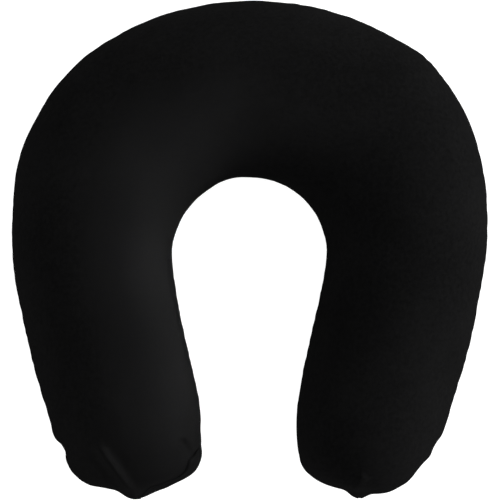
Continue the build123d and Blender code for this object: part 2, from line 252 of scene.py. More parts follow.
def tube(k, angle, depth=0.0):
    """The tube's (len(k), len(angle), 3) points, mm. Angle 0 is the outer seam line, a quarter
    turn the top, half a turn the inner seam line."""
    rows = spline(STATIONS, k)
    outer, inner = rows[:, :2], rows[:, 2:]
    centre, half = (outer + inner) / 2, (outer - inner) / 2
    width = np.linalg.norm(half, axis=1)
    steps = np.clip(np.abs(np.abs(k - MIDDLE) - MIDDLE) / (MIDDLE - BACK_STATIONS), 0, 1)
    full = HEIGHT_BACK + (HEIGHT_LEG - HEIGHT_BACK) * steps**2
    high = np.maximum(full * np.minimum(1, width / ROUND_HALF_WIDTH) ** 0.85 - depth, 0.3)
    share = np.maximum(0.02, 1 - depth / np.maximum(width, 1.0))
    roll = SEAM_ROLL * smooth(-inner[:, 1], 118, 132) + TIP_ROLL * smooth(-width, -30, -8)
    roll = np.where(centre[:, 0] < 0, roll, 0)[:, None]
    turned = angle[None] - roll * np.cos(np.clip((angle - pi) * 0.9, -pi / 2, pi / 2)) ** 2
    grid = np.zeros((len(k), len(angle), 3))
    grid[:, :, :2] = centre[:, None] + half[:, None] * (share[:, None] * np.cos(turned))[..., None]
    grid[:, :, 2] = SEAM_Z + high[:, None] * np.sin(turned)
    lean = np.interp(grid[..., 1], *zip(*LEAN))
    grid[..., 0] += lean * smooth(grid[..., 2], 0, 40) * (1 - zip_zone(grid))
    return grid


def zip_zone(grid):
    """1 where the cover is held by the zip and the label, fading to 0 round them."""
    theta = np.degrees(np.arctan2(grid[..., 0], grid[..., 1] - BACK_CENTRE_Y))
    low_back = smooth(-np.abs(theta + 3), -46, -36) * smooth(grid[..., 1], 70, 90)
    return low_back * smooth(-np.abs(grid[..., 2] - ZIP_Z), -22, -13)


def nudged(grid):
    """The grid with the outline's small unevenness."""
    x, y, z = (grid[..., i].copy() for i in range(3))
    for cx, cy, cz, reach, dx, dy in NUDGES:
        away = np.sqrt((x - cx) ** 2 + (y - cy) ** 2 + ((z - cz) / 2) ** 2)
        near = np.exp(-((away / reach) ** 3))
        grid[..., 0] += dx * near
        grid[..., 1] += dy * near
    return grid


def normals(grid):
    """Outward unit normals of a grid that closes round its second axis."""
    along = np.gradient(grid, axis=0)
    around = np.roll(grid, -1, axis=1) - np.roll(grid, 1, axis=1)
    n = np.cross(around, along)
    return n / np.maximum(np.linalg.norm(n, axis=-1, keepdims=True), 1e-9)


def seam_distance(angle):
    """How far round from the nearest seam line, in radians."""
    folded = np.mod(angle, pi)
    return np.minimum(folded, pi - folded)


# ---------------------------------------------------------------- the simulated cover
def link(name, verts, faces):
    mesh = bpy.data.meshes.new(name)
    mesh.from_pydata(verts, [], faces)
    mesh.update()
    obj = bpy.data.objects.new(name, mesh)
    bpy.context.scene.collection.objects.link(obj)
    return obj


def closed_faces(n, m):
    i, j = np.meshgrid(np.arange(n - 1), np.arange(m), indexing="ij")
    k = (j + 1) % m
    quads = np.stack([i * m + j, i * m + k, (i + 1) * m + k, (i + 1) * m + j], -1)
    ends = [list(range(m))[::-1], list(range((n - 1) * m, n * m))]
    return quads.reshape(-1, 4).tolist() + ends


def blurred(values, reach):
    """Values averaged along the tube, with a bell's weights, over a reach in rows."""
    steps = np.arange(-3 * reach, 3 * reach + 1)
    weights = np.exp(-((steps / reach) ** 2))
    rows = np.clip(np.arange(len(values))[:, None] + steps, 0, len(values) - 1)
    return np.einsum("s,ksax->kax", weights / weights.sum(), values[rows])


def simulate(along=300, around=84):
    """What pressure inside a cover with tight seams adds to the plain tube: (k, angle, moves)."""
    k = np.interp(np.linspace(0, RUN[-1], along), RUN, FINE)
    angle = np.linspace(0, 2 * pi, around, endpoint=False)
    target = tube(k, angle)
    start = tube(k, angle, depth=2.5)
    obj = link("cover_cloth", (start.reshape(-1, 3) * MM).tolist(), closed_faces(along, around))
    held = zip_zone(target)
    held[:3] = held[-3:] = 1
    tight = np.tile(np.exp(-((seam_distance(angle) / 0.1) ** 2)), (along, 1))
    for name, weights in (("held", held), ("tight", tight)):
        group = obj.vertex_groups.new(name=name)
        for v, w in enumerate(weights.reshape(-1)):
            if w > 0.01:
                group.add([v], float(w), "REPLACE")
    cloth = obj.modifiers.new("cloth", "CLOTH")
    settings = cloth.settings
    settings.quality = 7
    settings.mass = 0.15
    settings.tension_stiffness = settings.compression_stiffness = 12
    settings.shear_stiffness = 6
    settings.bending_stiffness = 0.4
    settings.use_pressure = True
    settings.uniform_pressure_force = 4
    settings.effector_weights.gravity = 0
    settings.vertex_group_mass = "held"
    settings.pin_stiffness = 3
    settings.vertex_group_shrink = "tight"
    settings.shrink_min = 0.0
    settings.shrink_max = 0.025
    cloth.point_cache.frame_start, cloth.point_cache.frame_end = 1, CLOTH_FRAMES
    for f in range(1, CLOTH_FRAMES + 1):
        bpy.context.scene.frame_set(f)
    seen = obj.evaluated_get(bpy.context.evaluated_depsgraph_get()).data
    flat = np.zeros(along * around * 3, np.float32)
    seen.vertices.foreach_get("co", flat)
    bpy.context.scene.frame_set(1)
    bpy.data.objects.remove(obj)
    moves = flat.reshape(along, around, 3).astype(float) / MM - start
    return k, angle, moves - blurred(moves, 5)


def cap_moves(moves, limit):
    """The moves with none longer than the limit."""
    length = np.linalg.norm(moves, axis=-1, keepdims=True)
    return moves * limit * np.tanh(length / limit) / np.maximum(length, 1e-6)


def spread(values, k0, k, angle):
    """Values on the simulated grid, at the finer grid's places (cubic both ways)."""
    def cubic(v, at, wrap):
        i = np.floor(at).astype(int)
        t = (at - i)[:, None]
        n = len(v)
        pick = [np.mod(i + d, n) if wrap else np.clip(i + d, 0, n - 1) for d in (-1, 0, 1, 2)]
        a, b, c, d = (v[p].reshape(len(at), -1) for p in pick)
        return b + 0.5 * t * (c - a + t * (2 * a - 5 * b + 4 * c - d + t * (3 * (b - c) + d - a)))

    n, m = values.shape[:2]
    rows = cubic(values.reshape(n, -1), np.interp(k, k0, np.arange(n)), False)
    rows = rows.reshape(len(k), m, 3).transpose(1, 0, 2)
    fine = cubic(rows.reshape(m, -1), angle / (2 * pi) * m, True)
    return fine.reshape(len(angle), len(k), 3).transpose(1, 0, 2)


# ---------------------------------------------------------------- the cover's fine grid
def fine_angles(count, wanted):
    """Angles close together at the seams and the zip, with the wanted ones among them."""
    dense = np.linspace(0, 2 * pi, 8001)
    density = 1 + 5 * np.exp(-((seam_distance(dense) / 0.07) ** 2))
    density += 2 * bell(dense, sum(wanted) / 2, 0.12)
    run = np.concatenate([[0], np.cumsum((density[1:] + density[:-1]) / 2)])
    angle = np.interp(np.linspace(0, run[-1], count + 1)[:-1], run, dense)
    for w in (pi, *wanted):
        angle[np.argmin(np.abs(angle - w))] = w
    return angle


def zip_angle(w):
    """The angle round the section of a line that lies w up the slope from the zip's middle."""
    return 2 * pi - asin((SEAM_Z - ZIP_Z - w * cos(radians(ZIP_TILT))) / HEIGHT_BACK)


def zip_k(theta):
    """The spline position whose section crosses the zip's line at theta degrees."""
    ks = np.linspace(MIDDLE - 6, MIDDLE + 6, 2401)
    points = tube(ks, np.array([zip_angle(0)]))[:, 0]
    thetas = np.degrees(np.arctan2(points[:, 0], points[:, 1] - BACK_CENTRE_Y))
    return float(np.interp(theta, thetas, ks))


def add_seam(grid, k, angle):
    """The groove at the seam and the puckers that its tight thread pulls on both sides."""
    run = np.interp(k, FINE, RUN)[:, None]
    away = seam_distance(angle)[None] * SECTION_RADIUS
    quiet = 1 - 0.85 * zip_zone(grid)
    above = wave(run, 4.7, 5) + 0.7 * wave(run, 8.3, 6)
    below = wave(run, 4.3, 3) + 0.7 * wave(run, 7.9, 4)
    pucker = np.where(angle[None] > pi, below, above)
    strength = 0.09 * np.exp(-away / 5.0) * (0.55 + 0.45 * wave(run, 60, 8)) * quiet
    seen = smooth(-grid[..., 1], 118, 128) * (grid[..., 0] < 0) * (np.abs(angle - pi) < pi / 2)
    groove = (1.5 + 1.2 * seen) * bell(away, 0, 1.0 + 0.3 * seen) - 0.35 * bell(away, 3.0, 1.8)
    return grid + normals(grid) * (pucker * strength - groove)[..., None]


def along_segment(grid, start, end):
    """How far along a plan segment each point is (0 to 1), and how far to its left, mm."""
    a, b = np.array(start), np.array(end)
    d = b - a
    rel = grid[..., :2] - a
    share = (rel @ d) / (d @ d)
    side = (rel[..., 0] * d[1] - rel[..., 1] * d[0]) / np.linalg.norm(d)
    return share, side


def add_leg_ends(grid, angle):
    """The gathered leg ends: pleats to the nub, a fold on top, and a crease beside the seam."""
    n = normals(grid)
    push = np.zeros(grid.shape[:2])
    x, y, z = (grid[..., i] for i in range(3))
    for side, seed in ((-1, 21), (1, 22)):
        dist = np.sqrt((x - side * TIP[0]) ** 2 + (y - TIP[1]) ** 2 + ((z - SEAM_Z) * 0.8) ** 2)
        pleat = wave(angle * 20, 5.0, seed) + 0.6 * wave(angle * 20, 2.4, seed + 5)
        push += 0.5 * pleat[None] * np.exp(-dist / 9.0) * smooth(dist, 2.0, 8.0)
    moved = grid + n * push[..., None]
    upper = smooth(z, SEAM_Z - 4, SEAM_Z + 12)
    for start, end, high, left, right, valley, where in FOLDS:
        share, side = along_segment(grid, start, end)
        size = smooth(share, 0.0, 0.25) * smooth(-share, -1.3, -1.0)
        ridge = high * bell(side, 0, np.where(side > 0, left, right))
        ridge -= valley * bell(side, where, 2.4)
        moved[..., 2] += ridge * size * upper
    return nudged(moved)


def rest_flat(grid, floor=0.02):
    """The soft underside flattened where it lies on the ground."""
    z = grid[..., 2] - floor
    grid[..., 2] = (z + np.sqrt(z * z + 2.2)) / 2 + floor
    return grid


def cloth_uv(k, angle):
    """Where each point lies on the flat cut panel, in metres, so that the knit runs one way."""
    rows = spline(STATIONS, k)
    centre, half = (rows[:, :2] + rows[:, 2:]) / 2, (rows[:, :2] - rows[:, 2:]) / 2
    width = np.linalg.norm(half, axis=1, keepdims=True)
    turn = np.where(angle <= pi, pi / 2 - angle, angle - 3 * pi / 2)
    reach = 0.8 * np.minimum(width, SECTION_RADIUS)[:, None] * turn[None, :, None]
    across = (half / width)[:, None] * reach
    return (centre[:, None] + across) * MM


def set_uv(obj, uv):
    layer = obj.data.uv_layers.new(name="cloth")
    index = np.zeros(len(obj.data.loops), np.int32)
    obj.data.loops.foreach_get("vertex_index", index)
    layer.data.foreach_set("uv", np.asarray(uv, np.float32)[index].reshape(-1))


def strip(name, grid, uv, cut=None):
    """A mesh of an open grid, closed by an n-gon at each leg end, with an opening left at cut."""
    n, m = grid.shape[:2]
    i, j = np.meshgrid(np.arange(n - 1), np.arange(m - 1), indexing="ij")
    keep = np.ones(i.shape, bool)
    if cut:
        (c0, c1), (r0, r1) = cut
        keep[c0:c1, r0:r1] = False
    quads = np.stack([i * m + j, i * m + j + 1, (i + 1) * m + j + 1, (i + 1) * m + j], -1)[keep]
    faces = quads.tolist() + [list(range(m))[::-1], list(range((n - 1) * m, n * m))]
    verts = grid.reshape(-1, 3)
    uv = uv.reshape(-1, 2)
    if cut:
        lip, lip_uv, lip_faces = folded_edge(grid, uv, cut)
        verts = np.concatenate([verts, lip])
        uv = np.concatenate([uv, lip_uv])
        faces += lip_faces
    obj = link(name, (verts * MM).tolist(), faces)
    for p in obj.data.polygons:
        p.use_smooth = True
    set_uv(obj, uv)
    return obj


def folded_edge(grid, uv, cut):
    """The cloth's edge round the zip's opening, folded down and under."""
    (c0, c1), (r0, r1) = cut
    n, m = grid.shape[:2]
    loop = [(c, r0) for c in range(c0, c1)] + [(c1, r) for r in range(r0, r1)]
    loop += [(c, r1) for c in range(c1, c0, -1)] + [(c0, r) for r in range(r1, r0, -1)]
    across = np.gradient(grid, axis=1)
    normal = np.cross(across, np.gradient(grid, axis=0))
    normal /= np.linalg.norm(normal, axis=-1, keepdims=True)
    rim = np.array([grid[c, r] for c, r in loop])
    out = np.array([normal[c, r] for c, r in loop])
    run = np.roll(rim, -1, axis=0) - np.roll(rim, 1, axis=0)
    tuck = np.cross(run, out)
    tuck /= np.linalg.norm(tuck, axis=-1, keepdims=True)
    middle = grid[(c0 + c1) // 2, (r0 + r1) // 2]
    if ((rim[len(loop) // 8] - middle) * tuck[len(loop) // 8]).sum() < 0:
        tuck = -tuck
    rings = [(0.25, -0.2), (0.65, -0.25), (1.05, 0.05), (1.3, 0.9), (1.32, 2.2)]
    verts = np.concatenate([rim - out * down + tuck * back for down, back in rings])
    size, first = len(loop), n * m
    index = [[c * m + r for c, r in loop]]
    index += [[first + q * size + i for i in range(size)] for q in range(len(rings))]
    faces = []
    for a, b in zip(index, index[1:]):
        faces += [[a[i], a[(i + 1) % size], b[(i + 1) % size], b[i]] for i in range(size)]
    lip_uv = np.concatenate([uv[index[0]] + [0, 0.0006 * (q + 1)] for q in range(len(rings))])
    return verts, lip_uv, faces


def make_cover(along=700, around=210):
    """The two halves of the cover, from one grid, with the zip's opening in the lower one."""
    wanted = (zip_angle(-SLOT_HALF), zip_angle(SLOT_HALF))
    angle = fine_angles(around, wanted)
    k = np.interp(np.linspace(0, RUN[-1], along), RUN, FINE)
    ends = []
    for theta in (-SLOT_ANGLE, SLOT_ANGLE):
        c = int(np.argmin(np.abs(k - zip_k(theta))))
        k[c] = zip_k(theta)
        ends.append(c)
    grid = tube(k, angle)
    k0, angle0, moves = simulate()
    run = np.interp(k0, FINE, RUN)
    fade = smooth(RUN[-1] - run, 14, 40) * smooth(run, 14, 40)
    near_seam = bell(seam_distance(angle0) * SECTION_RADIUS, 0, 16)
    fade = fade[:, None] * np.maximum(near_seam, np.where(angle0 > pi, 0.3, 0.06))
    fade *= 1 - zip_zone(tube(k0, angle0))
    grid = grid + spread(cap_moves(moves, MOST_MOVED) * fade[..., None], k0, k, angle)
    grid = rest_flat(add_leg_ends(add_zip_dents(add_seam(grid, k, angle)), angle))
    uv = cloth_uv(k, angle)
    half = int(np.argmin(np.abs(angle - pi)))
    rows = [int(np.argmin(np.abs(angle - w))) for w in wanted]
    top = strip("cover_top", grid[:, : half + 1], uv[:, : half + 1])
    lower = np.concatenate([grid[:, half:], grid[:, :1]], axis=1)
    lower_uv = np.concatenate([uv[:, half:], cloth_uv(k, np.array([2 * pi]))], axis=1)
    bottom = strip("cover_bottom", lower, lower_uv, (ends, [r - half for r in rows]))
    return top, bottom


def zip_place(grid):
    """Each point's angle round the back and its height up the slope from the zip's middle."""
    radius = np.hypot(grid[..., 0], grid[..., 1] - BACK_CENTRE_Y)
    theta = np.degrees(np.arctan2(grid[..., 0], grid[..., 1] - BACK_CENTRE_Y))
    tilt = radians(ZIP_TILT)
    up = (radius - ZIP_RADIUS) * sin(tilt) + (grid[..., 2] - ZIP_Z) * cos(tilt)
    return theta, np.where(radius > 150, up, 99)


def add_zip_dents(grid):
    """Where the stitching pulls the cloth down along both sides of the zip."""
    theta, up = zip_place(grid)
    within = smooth(-np.abs(theta), -27.5, -26.5)
    dent = 0.35 * bell(np.abs(up), STITCH_HEIGHT, 0.8) - 0.22 * bell(np.abs(up), 4.2, 0.8)
    return grid - normals(grid) * (dent * within)[..., None]


# ---------------------------------------------------------------- the filled bag inside
def inset(k, angle, depth):
    """The cover's plain shape, moved in along its normals."""
    grid = nudged(tube(k, angle))
    return grid - normals(grid) * depth


def make_inner(name, depth, upper, along=360, around=72):
    """One closed layer of the inside: the bag's upper or lower half, or all of the filling."""
    k = np.interp(np.linspace(26, RUN[-1] - 26, along), RUN, FINE)
    angle = np.linspace(0, 2 * pi, around, endpoint=False)
    grid = inset(k, angle, depth)
    run = np.interp(k, FINE, RUN)[:, None]
    lumps = wave(run + angle * 9, 9, 31) * wave(angle * SECTION_RADIUS + run * 0.3, 8, 32)
    grid -= normals(grid) * (0.15 + 0.15 * lumps)[..., None]
    grid = rest_flat(grid, depth)
    if upper is not None:
        grid = np.concatenate([grid, grid[:, :1]], axis=1)
        first, last = (0, around // 2) if upper else (around // 2, around)
        low, high = (0, pi) if upper else (pi, 2 * pi)
        grid = grid[:, first : last + 1]
        return strip(name, grid, cloth_uv(k, np.linspace(low, high, last - first + 1)))
    obj = link(name, (grid.reshape(-1, 3) * MM).tolist(), closed_faces(along, around))
    obj.data.polygons.foreach_set("use_smooth", [True] * len(obj.data.polygons))
    set_uv(obj, cloth_uv(k, angle).reshape(-1, 2))
    return obj


# ---------------------------------------------------------------- thread, filament and tape
def tubes(name, paths, radius, sides=7):
    """One mesh of round tubes along paths in mm, with closed ends and lengths in the UVs."""
    verts, faces, uvs = [], [], []
    turn = np.linspace(0, 2 * pi, sides, endpoint=False)
    for path in paths:
        p = np.asarray(path, float)
        tangent = np.gradient(p, axis=0)
        tangent /= np.linalg.norm(tangent, axis=1, keepdims=True)
        normal = np.zeros_like(p)
        n = np.cross(tangent[0], [0.31, 0.52, 0.79])
        for i, t in enumerate(tangent):
            n = n - t * (n @ t)
            n /= np.linalg.norm(n)
            normal[i] = n
        side = np.cross(tangent, normal)
        ring = normal[:, None] * np.cos(turn)[None, :, None]
        ring = ring + side[:, None] * np.sin(turn)[None, :, None]
        first = len(verts)
        verts += (p[:, None] + ring * radius).reshape(-1, 3).tolist()
        run = np.concatenate([[0], np.cumsum(np.linalg.norm(np.diff(p, axis=0), axis=1))]) * MM
        uvs += [(r, j / sides) for r in run for j in range(sides)]
        for i in range(len(p) - 1):
            a = first + i * sides
            faces += [
                (a + j, a + (j + 1) % sides, a + sides + (j + 1) % sides, a + sides + j)
                for j in range(sides)
            ]
        faces += [tuple(range(first, first + sides))[::-1]]
        last = first + (len(p) - 1) * sides
        faces += [tuple(range(last, last + sides))]
    obj = link(name, (np.array(verts) * MM).tolist(), faces)
    obj.data.polygons.foreach_set("use_smooth", [True] * len(obj.data.polygons))
    set_uv(obj, uvs)
    return obj


def zip_axes(theta):
    """The zip's point, and the directions along it, out of the cover and up the slope."""
    at, tilt = radians(theta), radians(ZIP_TILT)
    place = np.array([sin(at) * ZIP_RADIUS, BACK_CENTRE_Y + cos(at) * ZIP_RADIUS, ZIP_Z])
    along = np.array([cos(at), -sin(at), 0])
    out = np.array([sin(at) * cos(tilt), cos(at) * cos(tilt), -sin(tilt)])
    up = np.array([sin(at) * sin(tilt), cos(at) * sin(tilt), cos(tilt)])
    return place, along, out, up


def seam_path(depth):
    """The seam's loop at a depth: round the outer edge, across a leg end and back by the neck."""
    k = np.interp(np.linspace(20, RUN[-1] - 20, 1400), RUN, FINE)
    line = inset(k, np.array([0, pi / 2, pi, 3 * pi / 2]), depth)
    return np.concatenate([line[:, 0], line[::-1, 2], line[:1, 0]])


def overlock(name, depth):
    """The looping thread along a seam: a tight helix round its line."""
    line = seam_path(depth)
    run = np.concatenate([[0], np.cumsum(np.linalg.norm(np.diff(line, axis=0), axis=1))])
    at = np.arange(0, run[-1], OVERLOCK_STEP)
    p = np.stack([np.interp(at, run, line[:, i]) for i in range(3)], axis=1)
    t = np.gradient(p, axis=0)
    t /= np.linalg.norm(t, axis=1, keepdims=True)
    side = np.stack([t[:, 1], -t[:, 0], 0 * at], axis=1)
    turn = 2 * pi * at / OVERLOCK_PITCH
    p += side * (0.1 * np.cos(turn))[:, None]
    p[:, 2] += 0.2 * np.sin(turn)
    return tubes(name, [p], OVERLOCK_RADIUS, 5)


def surface_of(*objs):
    """A tree of the given meshes, to find where cloth lies, in mm."""
    verts, faces = [], []
    for obj in objs:
        first = len(verts)
        verts += [v.co / MM for v in obj.data.vertices]
        faces += [[first + i for i in p.vertices] for p in obj.data.polygons]
    return BVHTree.FromPolygons(verts, faces)


def on_cloth(tree, point, direction):
    """Where a line from the point meets the cloth, or None."""
    return tree.ray_cast(Vector(point), Vector(direction))[0]


def stitch_path(tree, start, end, out, rise, dip=0.35):
    """One stitch lying on the cloth between two points, its ends going down into it."""
    path = []
    for s in np.linspace(0, 1, STITCH_STEPS):
        point = start + (end - start) * s
        hit = on_cloth(tree, point + out * 8, -out)
        base = np.array(hit) if hit is not None else point
        arch = 1 - abs(2 * s - 1) ** 4
        path.append(base + out * (rise * arch - dip * (1 - arch)))
    return path


def make_zip_stitching(name, tree, height):
    """A row of stitches on one side of the zip."""
    paths = []
    for i in range(-STITCHES_EACH_WAY, STITCHES_EACH_WAY + 1):
        place, along, out, up = zip_axes(i * STITCH_PITCH)
        middle = place + up * height
        slant = up * 0.07 * (1 if i % 2 else -1)
        start, end = middle - along * 1.15 - slant, middle + along * 1.15 + slant
        paths.append(stitch_path(tree, start, end, out, 0.1))
    return tubes(name, paths, 0.2)


def make_bar_tack(name, tree, middle, across, length_way, out, size, count):
    """Close threads side by side over a bar: across each thread, length_way the bar."""
    paths = []
    width, length = size
    for i in range(count):
        lift = length_way * (length * (i / (count - 1) - 0.5))
        skew = length_way * 0.12 * (1 if i % 2 else -1)
        a, b = middle + lift - across * width / 2 - skew, middle + lift + across * width / 2 + skew
        paths.append(stitch_path(tree, a, b, out, 0.2))
    return tubes(name, paths, 0.17, 6)


def make_coil(name, up_side):
    """One side's coil: a nylon filament wound flat, with its heads towards the middle."""
    turns = int(2 * COIL_ANGLE / TOOTH_PITCH)
    path = []
    for s in np.arange(0, turns, 1 / 14):
        theta = -COIL_ANGLE + TOOTH_PITCH * (s + (0.25 if up_side > 0 else 0.75))
        if theta > COIL_ANGLE:
            break
        place, _, out, up = zip_axes(theta)
        a = 2 * pi * s
        reach = COIL_REACH - COIL_SPREAD * np.sign(cos(a)) * abs(cos(a)) ** COIL_SQUARE
        rise = COIL_DEPTH + COIL_THICK * np.sign(sin(a)) * abs(sin(a)) ** COIL_SQUARE
        path.append(place + up * (up_side * reach) + out * rise)
    return tubes(name, [path], FILAMENT_RADIUS)


def slab_sheet(name, middle, normal, thickness):
    """A sheet of cloth with a thickness, from its middle grid and the grid's normals, in mm."""
    n, m = middle.shape[:2]
    over, under = middle + normal * thickness / 2, middle - normal * thickness / 2
    i, j = np.meshgrid(np.arange(n - 1), np.arange(m - 1), indexing="ij")
    quads = np.stack([i * m + j, i * m + j + 1, (i + 1) * m + j + 1, (i + 1) * m + j], -1)
    quads = quads.reshape(-1, 4)
    faces = quads.tolist() + (quads[:, ::-1] + n * m).tolist()
    rim = [i * m for i in range(n - 1, 0, -1)] + list(range(m))
    rim += [i * m + m - 1 for i in range(1, n)] + [(n - 1) * m + j for j in range(m - 2, 0, -1)]
    faces += [[a, a + n * m, b + n * m, b] for a, b in zip(rim, rim[1:] + rim[:1])]
    verts = np.concatenate([over.reshape(-1, 3), under.reshape(-1, 3)])
    obj = link(name, (verts * MM).tolist(), faces)
    obj.data.polygons.foreach_set("use_smooth", [True] * len(obj.data.polygons))
    along = np.linalg.norm(np.diff(middle, axis=0), axis=-1).mean() * MM
    across = np.linalg.norm(np.diff(middle, axis=1), axis=-1).mean() * MM
    u, v = np.meshgrid(np.arange(n) * along, np.arange(m) * across, indexing="ij")
    uv = np.stack([u, v], -1).reshape(-1, 2)
    set_uv(obj, np.concatenate([uv, uv]))
    return obj, (m - 1) * across, (n - 1) * along


def make_tape(name, up_side):
    """One woven tape behind its side of the zip's opening."""
    thetas = np.linspace(-TAPE_ANGLE, TAPE_ANGLE, 160)
    heights = np.linspace(*TAPE_HEIGHTS, 12)
    middle = np.zeros((len(thetas), len(heights), 3))
    normal = np.zeros_like(middle)
    for i, theta in enumerate(thetas):
        place, _, out, up = zip_axes(theta)
        for j, height in enumerate(heights):
            fall = 0.23 * (theta / 24) ** 2 + 0.0111 * height**2
            edge = 0.12 * bell(height, 11.6, 0.5)
            middle[i, j] = place + up * (up_side * height) - out * (fall + TAPE_BEHIND - edge)
            slope = up_side * 0.0222 * height
            normal[i, j] = (out + up * slope) / (1 + slope**2) ** 0.5
    return slab_sheet(name, middle, normal, TAPE_THICK)


def make_label(tree):
    """The blank satin label, laid on the cover with its free edge a little lifted."""
    (low, high), (bottom, top) = LABEL_ANGLES, LABEL_HEIGHTS
    thetas, heights = np.linspace(low, high, 24), np.linspace(bottom, top, 34)
    middle = np.zeros((len(thetas), len(heights), 3))
    normal = np.zeros_like(middle)
    for i, theta in enumerate(thetas):
        place, _, out, up = zip_axes(theta)
        for j, height in enumerate(heights):
            point = place + up * height
            hit = on_cloth(tree, point + out * 8, -out)
            side = abs(2 * i / (len(thetas) - 1) - 1)
            free_edge = 0.25 * smooth(-height, 4, 12) * (0.4 + 0.6 * side**2)
            lift = 0.3 + free_edge + 0.06 * wave(height + i, 5, 44)
            fold = 0.18 * bell(height, top, 0.8)
            middle[i, j] = np.array(hit) + out * (lift + fold)
            normal[i, j] = out
    return slab_sheet("care_label_sheet", middle, normal, LABEL_THICK)


def make_label_stitching(tree):
    """The row of stitches that holds the label's upper edge."""
    low, high = LABEL_ANGLES
    paths = []
    for i in range(LABEL_STITCHES):
        theta = (low + high) / 2 + (i - LABEL_STITCHES // 2) * 0.9
        place, along, out, up = zip_axes(theta)
        middle = place + up * LABEL_STITCH_HEIGHT
        start, end = middle - along * 0.95, middle + along * 0.95
        paths.append(stitch_path(tree, start, end, out, 0.12, 0.25))
    return tubes("care_label_stitches", paths, 0.15)


# ---------------------------------------------------------------- materials
class Nodes:
    """Short calls for building one material."""

    def __init__(self, name, **values):
        self.material = bpy.data.materials.new(name)
        self.material.use_nodes = True
        self.tree = self.material.node_tree
        self.shader = self.tree.nodes["Principled BSDF"]
        for key, value in values.items():
            self.shader.inputs[key.replace("_", " ")].default_value = value

    def add(self, kind, inputs=(), **props):
        node = self.tree.nodes.new(kind)
        for key, value in props.items():
            setattr(node, key, value)
        for key, value in dict(inputs).items():
            self.put(value, node.inputs[key])
        return node

    def put(self, value, socket):
        if isinstance(value, bpy.types.NodeSocket):
            self.tree.links.new(value, socket)
        else:
            socket.default_value = value

    def math(self, operation, *values):
        return self.add("ShaderNodeMath", enumerate(values), operation=operation).outputs[0]

    def noise(self, vector, scale, detail=2.0):
        inputs = {"Vector": vector, "Scale": scale, "Detail": detail}
        return self.add("ShaderNodeTexNoise", inputs).outputs["Fac"]

    def ramp(self, value, low, high, stops=(0.3, 0.7)):
        node = self.add("ShaderNodeValToRGB", {"Fac": value})
        for element, at, colour in zip(node.color_ramp.elements, stops, (low, high)):
            element.position = at
            element.color = colour
        return node.outputs["Color"]

    def bump(self, height, distance, strength, under=None):
        inputs = {"Height": height, "Distance": distance, "Strength": strength}
        if under is not None:
            inputs["Normal"] = under
        return self.add("ShaderNodeBump", inputs).outputs["Normal"]


def grey(value):
    """A neutral grey, a touch cool."""
    return (value, value, value * 1.02, 1.0)


def knit_material():
    """Fine stretch jersey: columns of small v shaped loops, a soft sheen, faint unevenness, and
    painted shade darkening the hollows between loops.
    """
    m = Nodes("cover_knit", Roughness=0.8)
    m.shader.inputs["Specular IOR Level"].default_value = 0.0
    m.shader.inputs["Sheen Weight"].default_value = 0.004
    m.shader.inputs["Sheen Roughness"].default_value = 0.45
    uv = m.add("ShaderNodeTexCoord").outputs["UV"]
    split = m.add("ShaderNodeSeparateXYZ", {"Vector": uv})
    wale = m.math("MULTIPLY", split.outputs["X"], 1 / WALE_PITCH)
    side = m.math("ABSOLUTE", m.math("SUBTRACT", m.math("FRACT", wale), 0.5))
    course = m.math("MULTIPLY", split.outputs["Y"], 1 / COURSE_PITCH)
    slant = m.math("ADD", course, m.math("MULTIPLY", side, 1.3))
    loop = m.math("ABSOLUTE", m.math("SINE", m.math("MULTIPLY", slant, pi)))
    valley = m.math("SUBTRACT", 1.0, m.math("POWER", m.math("MULTIPLY", side, 2.0), 3.0))
    leg = m.math("SINE", m.math("MULTIPLY", side, 2 * pi))
    height = m.math("MULTIPLY", m.math("MULTIPLY", loop, valley), leg)
    place = m.add("ShaderNodeTexCoord").outputs["Object"]
    fuzz = m.noise(place, 2600.0, 3.0)
    waves = m.noise(place, 55.0, 2.0)
    first = m.bump(waves, 0.0006, 0.35)
    second = m.bump(height, 0.00016, 0.8, first)
    m.put(m.bump(fuzz, 0.00005, 0.5, second), m.shader.inputs["Normal"])
    blotch = m.math("MULTIPLY", m.noise(place, 16.0, 3.0), 0.5)
    speckle = m.math("MULTIPLY", m.noise(place, 420.0, 3.0), 0.5)
    tone = m.math("ADD", blotch, speckle)
    base = m.ramp(tone, grey(0.0034), grey(0.0053), (0.36, 0.64))
    # Painted shade: where the loops' bump height is low, in the hollows between loops, the colour is
    # mixed towards a darker grey.
    thread = m.add("ShaderNodeMix", {"Factor": height}, data_type="RGBA")
    m.put(m.ramp(tone, grey(0.0027), grey(0.0044), (0.36, 0.64)), thread.inputs["A"])
    m.put(base, thread.inputs["B"])
    m.put(thread.outputs["Result"], m.shader.inputs["Base Color"])
    rough = m.math("ADD", 0.74, m.math("MULTIPLY", fuzz, 0.2))
    m.put(rough, m.shader.inputs["Roughness"])
    return m.material


def thread_material(name, colour):
    """Twisted polyester thread: slanting plies, a slight lustre, and painted shade darkening the
    grooves between plies.
    """
    m = Nodes(name, Roughness=0.6)
    m.shader.inputs["Specular IOR Level"].default_value = 0.08
    m.shader.inputs["Sheen Weight"].default_value = 0.01
    split = m.add("ShaderNodeSeparateXYZ", {"Vector": m.add("ShaderNodeTexCoord").outputs["UV"]})
    run = m.math("MULTIPLY", split.outputs["X"], 1 / 0.0007)
    ply = m.math("SINE", m.math("MULTIPLY", m.math("ADD", run, split.outputs["Y"]), 2 * pi))
    fuzz = m.noise(m.add("ShaderNodeTexCoord").outputs["Object"], 5000.0)
    m.put(m.bump(fuzz, 0.00003, 0.5, m.bump(ply, 0.00008, 0.9)), m.shader.inputs["Normal"])
    # Painted shade: the colour falls to seven tenths in the low grooves between the plies.
    dark = tuple(c * 0.7 for c in colour[:3]) + (1.0,)
    m.put(m.ramp(ply, dark, colour, (0.0, 0.8)), m.shader.inputs["Base Color"])
    m.put(m.math("ADD", 0.42, m.math("MULTIPLY", fuzz, 0.25)), m.shader.inputs["Roughness"])
    return m.material


